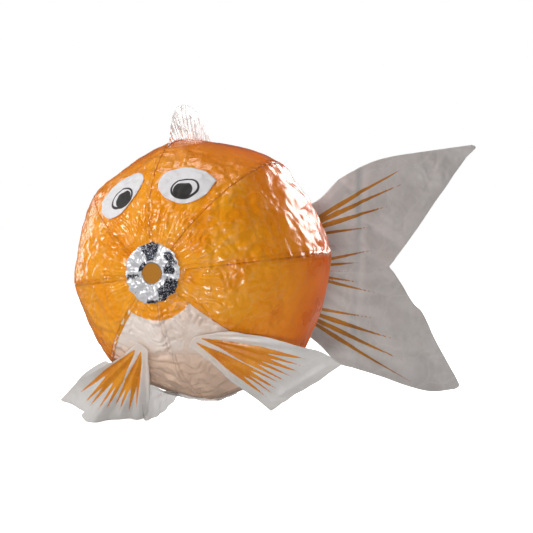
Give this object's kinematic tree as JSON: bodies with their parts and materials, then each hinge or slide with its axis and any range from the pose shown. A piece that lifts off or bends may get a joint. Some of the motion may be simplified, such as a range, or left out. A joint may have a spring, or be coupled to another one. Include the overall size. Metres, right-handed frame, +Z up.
{
  "type": "paper balloon goldfish",
  "caption": "Blow-up paper balloon shaped as a goldfish: glued orange and pale gores, a foil-rimmed blow hole for a mouth, pasted eyes, and fins that fold at their glued roots.",
  "frame": {"origin": "centre of the blow hole, halfway through the foil", "axes": "-Y the way the mouth points, +X to the fish's left, +Z up; the fish rests rolled over by seven degrees about Y"},
  "size_m": [0.2194, 0.2438, 0.189],
  "materials": {
    "orange_paper": "glossy crinkled translucent glassine",
    "belly_paper": "glossy crinkled translucent glassine, pinkish white",
    "foil": "wrinkled silver foil",
    "eye_paper": "matt off-white with a dark pupil",
    "fin_paper": "thin greyish white paper with orange rays, pleated"
  },
  "bodies": {
    "balloon": {"gore_upper_side_left": "orange_paper", "gore_top_left": "orange_paper", "gore_top_right": "orange_paper", "gore_upper_side_right": "orange_paper", "gore_lower_side_right": "orange_paper", "gore_belly_right": "belly_paper", "gore_belly_left": "belly_paper", "gore_lower_side_left": "orange_paper", "blow_hole_ring": "foil", "rear_patch": "orange_paper", "eye_left": "eye_paper", "eye_right": "eye_paper", "dorsal_tab": "fin_paper", "ventral_tab": "fin_paper", "pectoral_tab_left": "fin_paper", "pectoral_tab_right": "fin_paper", "tail_tab": "fin_paper"},
    "tail": {"tail_fin": "fin_paper"},
    "dorsal": {"dorsal_fin": "fin_paper"},
    "ventral": {"ventral_fin": "fin_paper"},
    "pectoral_left": {"pectoral_fin_left": "fin_paper"},
    "pectoral_right": {"pectoral_fin_right": "fin_paper"}
  },
  "joints": [
    {"name": "tail_swing", "type": "hinge", "parent": "balloon", "child": "tail", "pos_m": [0, 0.1401, 0], "axis": [0, 0, 1], "range_deg": [-30, 100], "stiffness_Nm_per_rad": 0.004},
    {"name": "dorsal_fold", "type": "hinge", "parent": "balloon", "child": "dorsal", "pos_m": [-0.00992, 0.0677, 0.08079], "axis": [0, 1, 0], "range_deg": [-90, 90], "stiffness_Nm_per_rad": 0.002},
    {"name": "ventral_fold", "type": "hinge", "parent": "balloon", "child": "ventral", "pos_m": [0.00992, 0.0677, -0.08079], "axis": [0, -1, 0], "range_deg": [0, 150], "stiffness_Nm_per_rad": 0.004},
    {"name": "pectoral_left_fold", "type": "hinge", "parent": "balloon", "child": "pectoral_left", "pos_m": [0.02229, 0.01085, -0.03939], "axis": [-0.5852, 0.2383, -0.7751], "range_deg": [0, 60], "stiffness_Nm_per_rad": 0.004},
    {"name": "pectoral_right_fold", "type": "hinge", "parent": "balloon", "child": "pectoral_right", "pos_m": [-0.0121, 0.01085, -0.04362], "axis": [-0.8082, -0.1966, 0.5551], "range_deg": [0, 60], "stiffness_Nm_per_rad": 0.004}
  ]
}
